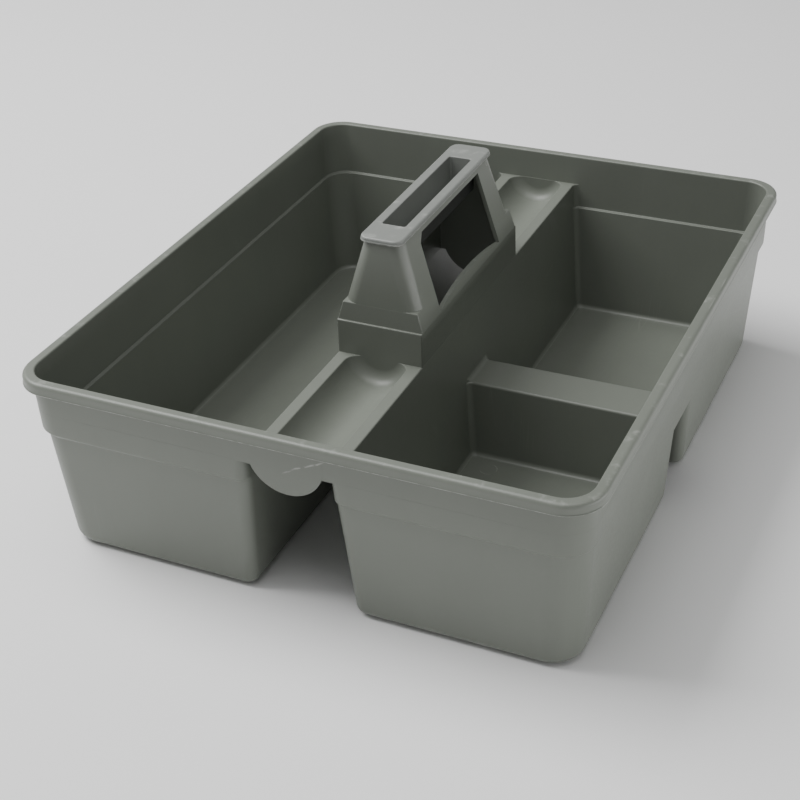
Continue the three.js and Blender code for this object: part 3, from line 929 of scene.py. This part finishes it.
    def column(self) -> bpy.types.Object:
        """The hollow handle column: a square base, a ledge, and two uprights that taper to the grip."""
        foot_x, base_y, wall = self.spine_width / 2, self.column_half, self.wall
        band_y = base_y - self.ledge_depth
        foot, ridge = Level.even(self.ridge_bottom), Level.even(self.ridge_height)
        ledge, soft = self.column_level(self.ledge_height), 0.3 * self.ledge_edge
        base = stacked("base", self.column_plan(foot_x, base_y, self.column_corner), [
            foot, ridge, self.column_level(self.ledge_height - self.ledge_edge),
            Level.sides(self.ledge_height - soft, 0.0, ledge.front + soft),
            Level.sides(self.ledge_height, 0.0, ledge.front + self.ledge_edge),
        ])
        band = stacked("band", self.column_plan(foot_x, band_y, self.column_corner), [
            foot, ridge, ledge, self.column_level(self.shoulder - 0.4 * MM),
            self.column_level(self.shoulder, 0.3 * MM),
        ])
        hollow_base = stacked("hollow", self.column_plan(foot_x - wall, band_y - wall, 1.0 * MM), [
            Level.even(self.ridge_bottom - self.trough_radius), ridge, ledge,
            self.column_level(self.shoulder - wall),
        ])
        hollow_top = self.uprights(wall, self.shoulder - wall - self.past,
                                   (self.column_top, self.column_top + self.past))
        ends = combined(
            self.trough_bar(base_y), Joining.KEEP_SHARED,
            stacked("block", Plan(-foot_x, foot_x, -base_y, base_y, (0.3 * MM,) * 4, 2),
                    [Level.even(self.below), ridge]),
        )
        outer = self.uprights(0.0, self.shoulder - self.past, (self.column_top,))
        combined(base, Joining.ADD, band, outer, ends)
        return combined(base, Joining.CUT, hollow_base, hollow_top, self.finger_opening())

    def finger_opening(self) -> bpy.types.Object:
        """The way through both sides of the column, with a sill that rises in an arc at mid length."""
        half, half_top = self.opening_length / 2, self.opening_top_length / 2
        radius = (half ** 2 + self.opening_crown ** 2) / (2 * self.opening_crown)
        sweep = math.degrees(math.asin(half / radius))
        centre = (0.0, self.sill + self.opening_crown - radius)
        sill = arc(centre, radius, 90.0 - sweep, 90.0 + sweep, 32)
        gusset = self.opening_gusset
        top = np.array([
            [-half_top, self.opening_top - gusset], [-half_top + gusset, self.opening_top],
            [half_top, self.opening_top],
        ])
        return extruded("opening", np.concatenate([sill, top]), 0, -self.half_width, self.half_width)

    def outside(self) -> bpy.types.Object:
        """Everything outside, still solid: bins, upper band, trough and rim."""
        reach = self.inner_corner + self.wall - self.left.plan.x1
        ends = Plan(-reach, reach, -self.half_length, self.half_length, (0.3 * MM,) * 4, 2)
        band = combined(
            self.band(self.step_height + self.step_slope / 2 - 0.02 * MM), Joining.CUT,
            stacked("tunnel_ends", ends, [Level.even(self.below), Level.even(self.ridge_bottom)]),
        )
        trough_shell = combined(
            self.trough_bar(self.half_length), Joining.KEEP_SHARED, self.band(self.step_height - self.wall)
        )
        above_tunnel = stacked("outside", self.right.plan.grown(self.wall), [
            self.bin_level(self.right, self.bridge_bottom, self.lower(self.bridge_bottom)),
            *self.upper_outside(self.right),
        ])
        return combined(
            self.bin_outside(self.left), Joining.ADD,
            self.bin_outside(self.front_right, self.bridge_bottom + self.past),
            self.bin_outside(self.rear_right, self.bridge_bottom + self.past),
            above_tunnel, band, trough_shell, self.rim(),
        )

    def build(self) -> None:
        """Cuts the hollows from the outer blocks and adds the column."""
        over = self.ridge_height + 0.5 * self.past
        left_hollow = stacked("hollow", self.left.plan, [
            *self.base_levels(self.left, self.floor, self.floor_fillet, self.floor_corner_share),
            *self.upper_hollow(self.left, over),
        ])
        above_bridge = stacked("hollow", self.right.plan, [
            *self.base_levels(self.right, self.bridge_height, self.bridge_fillet, self.floor_corner_share),
            *self.upper_hollow(self.right, over),
        ])
        column_well = stacked(
            "well",
            self.column_plan(self.spine_width / 2 - self.wall, self.column_half - self.wall, 0.5 * MM),
            [Level.even(self.below), Level.even(over)],
        )
        tray = combined(
            self.outside(), Joining.CUT,
            left_hollow, self.short_hollow(self.front_right), self.short_hollow(self.rear_right),
            above_bridge, self.over_spine(),
            self.trough_hollow(-self.well.y1, -self.column_half),
            self.trough_hollow(self.column_half, self.well.y1),
            column_well,
        )
        combined(tray, Joining.ADD, self.column())
        tray.name = "tray_moulding"
        self.shell = tray

    def dress(self, material: bpy.types.Material) -> None:
        """Finishes the shell and ties it to the frame."""
        finished(self.shell, material, 32.0)
        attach(self.shell, "root")
        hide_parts(*self.replaced)


@dataclass
class GripChannel:
    """The grip: a channel, open at the top, under a soft-edged plate that overhangs the uprights."""

    plate: float = 3.0 * MM
    corner: float = 6.0 * MM
    slot_width: float = 14.4 * MM
    slot_length: float = 100.0 * MM
    slot_corner: float = 1.5 * MM
    lip_wall: float = 2.2 * MM
    edge: float = 1.3 * MM
    slot_edge: float = 0.7 * MM
    taper: float = 0.52 * MM
    past: float = 1.0 * MM
    piece: bpy.types.Object | None = field(default=None, init=False)

    def __post_init__(self) -> None:
        """Reads the grip's outer size from the frame."""
        low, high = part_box("grip_channel")
        self.half_x, self.half_y = high.x, high.y
        self.bottom, self.top = low.z, high.z
        self.underside = self.top - self.plate

    def plan(self, half_x: float, half_y: float, radius: float) -> Plan:
        """A plan centred on the grip."""
        return Plan(-half_x, half_x, -half_y, half_y, (radius,) * 4, 12)

    def build(self) -> None:
        """Rounds the plate's edge, adds the channel below and cuts the slot."""
        lower = [
            Level.even(self.underside, 0.25 * MM),
            Level.even(self.underside + 0.3 * MM, 0.0),
            Level.even(self.underside + 0.75 * MM, 0.0),
            Level.even(self.underside + 1.1 * MM, 0.22 * MM),
        ]
        upper = [Level.even(z, 0.22 * MM + shift, shift) for z, shift in rounded_top(self.top, self.edge)]
        plate = stacked("grip_insert", self.plan(self.half_x, self.half_y, self.corner), lower + upper)
        half_x, half_y = self.slot_width / 2, self.slot_length / 2
        wall = self.lip_wall
        channel = stacked("channel", self.plan(half_x + wall, half_y + wall, self.slot_corner + wall), [
            Level.even(self.bottom, self.taper + 1.0 * MM, 0.6 * MM),
            Level.even(self.bottom + 1.0 * MM, self.taper),
            Level.even(self.underside + self.plate / 2),
        ])
        slot = stacked("slot", self.plan(half_x, half_y, self.slot_corner), [
            Level.even(self.bottom + wall, self.taper + 0.8 * MM, 0.4 * MM),
            Level.even(self.bottom + wall + 0.8 * MM, self.taper),
            Level.even(self.underside),
            *(Level.even(z, -shift) for z, shift in rounded_top(self.top, self.slot_edge, 5)),
            Level.even(self.top + self.past, -self.slot_edge),
        ])
        combined(plate, Joining.ADD, channel)
        self.piece = combined(plate, Joining.CUT, slot)

    def dress(self, material: bpy.types.Material) -> None:
        """Finishes the grip and ties it to the frame."""
        finished(self.piece, material, 32.0)
        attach(self.piece, "root")
        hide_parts("grip_channel")


# ---- Stage --------------------------------------------------------------------------------


@dataclass
class Studio:
    """A pale floor, soft lights and the camera."""

    lens: float = 69.98
    camera_place: tuple[float, float, float] = (0.3478, -0.7735, 0.5639)
    yaw: float = -25.727
    pitch: float = 32.453
    roll: float = -2.546
    surround: float = 0.26
    floor_half: float = 6.0
    floor_gap: float = 0.02 * MM

    def camera(self) -> None:
        """Places the camera: it looks along the yawed and pitched direction, then rolls about it."""
        yaw, pitch, roll = (math.radians(a) for a in (self.yaw, self.pitch, self.roll))
        forward = Vector((math.sin(yaw) * math.cos(pitch), math.cos(yaw) * math.cos(pitch), -math.sin(pitch)))
        right = Vector((math.cos(yaw), -math.sin(yaw), 0.0))
        up = right.cross(forward)
        across = right * math.cos(roll) + up * math.sin(roll)
        above = up * math.cos(roll) - right * math.sin(roll)
        data = bpy.data.cameras.new("camera")
        data.lens = self.lens
        data.sensor_width = 36.0
        data.clip_start, data.clip_end = 0.05, 20.0
        camera = bpy.data.objects.new("camera", data)
        turned = Matrix((across, above, -forward)).transposed()
        camera.matrix_world = Matrix.Translation(Vector(self.camera_place)) @ turned.to_4x4()
        bpy.context.scene.collection.objects.link(camera)
        bpy.context.scene.camera = camera

    def light(self, name: str, place: tuple[float, float, float], target: tuple[float, float, float],
              size: tuple[float, float], power: float) -> None:
        """Adds one soft light that points at a target.

        Args:
            name: the light's name.
            place: where it hangs.
            target: the point it faces.
            size: its width and height.
            power: watts.
        """
        data = bpy.data.lights.new(name, "AREA")
        data.shape = "RECTANGLE"
        data.size, data.size_y = size
        data.energy = power
        lamp = bpy.data.objects.new(name, data)
        lamp.location = place
        lamp.rotation_euler = (Vector(target) - Vector(place)).to_track_quat("-Z", "Y").to_euler()
        bpy.context.scene.collection.objects.link(lamp)

    def floor(self) -> None:
        """Lays the pale floor, a flat square, just under the caddy."""
        half, z = self.floor_half, -self.floor_gap
        corners = np.array([[-half, -half, z], [half, -half, z], [half, half, z], [-half, half, z]])
        made = object_from("studio_floor", corners, [[0, 1, 2, 3]])
        made.data.materials.append(PaleFloor().build())

    def world(self) -> None:
        """A soft white surround."""
        world = bpy.data.worlds.new("surround")
        world.use_nodes = True
        back = world.node_tree.nodes["Background"]
        back.inputs[0].default_value = (1.0, 1.0, 1.0, 1.0)
        back.inputs[1].default_value = self.surround
        bpy.context.scene.world = world

    def build(self) -> None:
        """Sets the whole stage."""
        self.camera()
        self.floor()
        self.world()
        self.light("high_left", (-1.35, -0.05, 1.9), (0.0, 0.0, 0.1), (1.5, 1.5), 62.0)
        self.light("overhead", (-0.1, -0.25, 1.6), (0.0, 0.0, 0.1), (1.3, 1.3), 11.0)
        self.light("right_strip", (1.3, 0.1, 0.095), (0.0, 0.1, 0.09), (1.6, 0.12), 7.0)


def main() -> None:
    """Builds and dresses each sub-assembly in order, then sets the stage."""
    logging.basicConfig(level=logging.INFO, format="%(message)s")
    tray = TrayMoulding()
    tray.build()
    tray_finish = MouldedPlastic(
        "tray_polypropylene",
        colour=(0.172, 0.186, 0.160),
        pale=(0.46, 0.47, 0.44),
        rim_height=tray.rim_height,
        lip=tray.rim_height - tray.lip_drop,
        reach=(tray.half_width, tray.half_length),
        gate=(50 * MM, -32.5 * MM),
        scuff=(0.0, tray.rim_height - 23.5 * MM),
        pin=(60 * MM, 166 * MM),
    )
    tray.dress(tray_finish.build())
    LOG.info("tray_moulding: %d faces", len(tray.shell.data.polygons))

    grip = GripChannel()
    grip.build()
    grip_finish = MouldedPlastic(
        "grip_polypropylene",
        colour=(0.232, 0.243, 0.228),
        pale=(0.52, 0.53, 0.5),
        rim_height=grip.top,
        lip=grip.underside,
        reach=(grip.half_x, grip.half_y),
        # Painted shade: the channel's outside below the plate is coloured near-black.
        painted_shade_below=(grip.underside, grip.slot_width / 2 + 1.2 * MM),
    )
    grip.dress(grip_finish.build())
    LOG.info("grip_insert: %d faces", len(grip.piece.data.polygons))

    Studio().build()


if __name__ == "__main__":
    main()
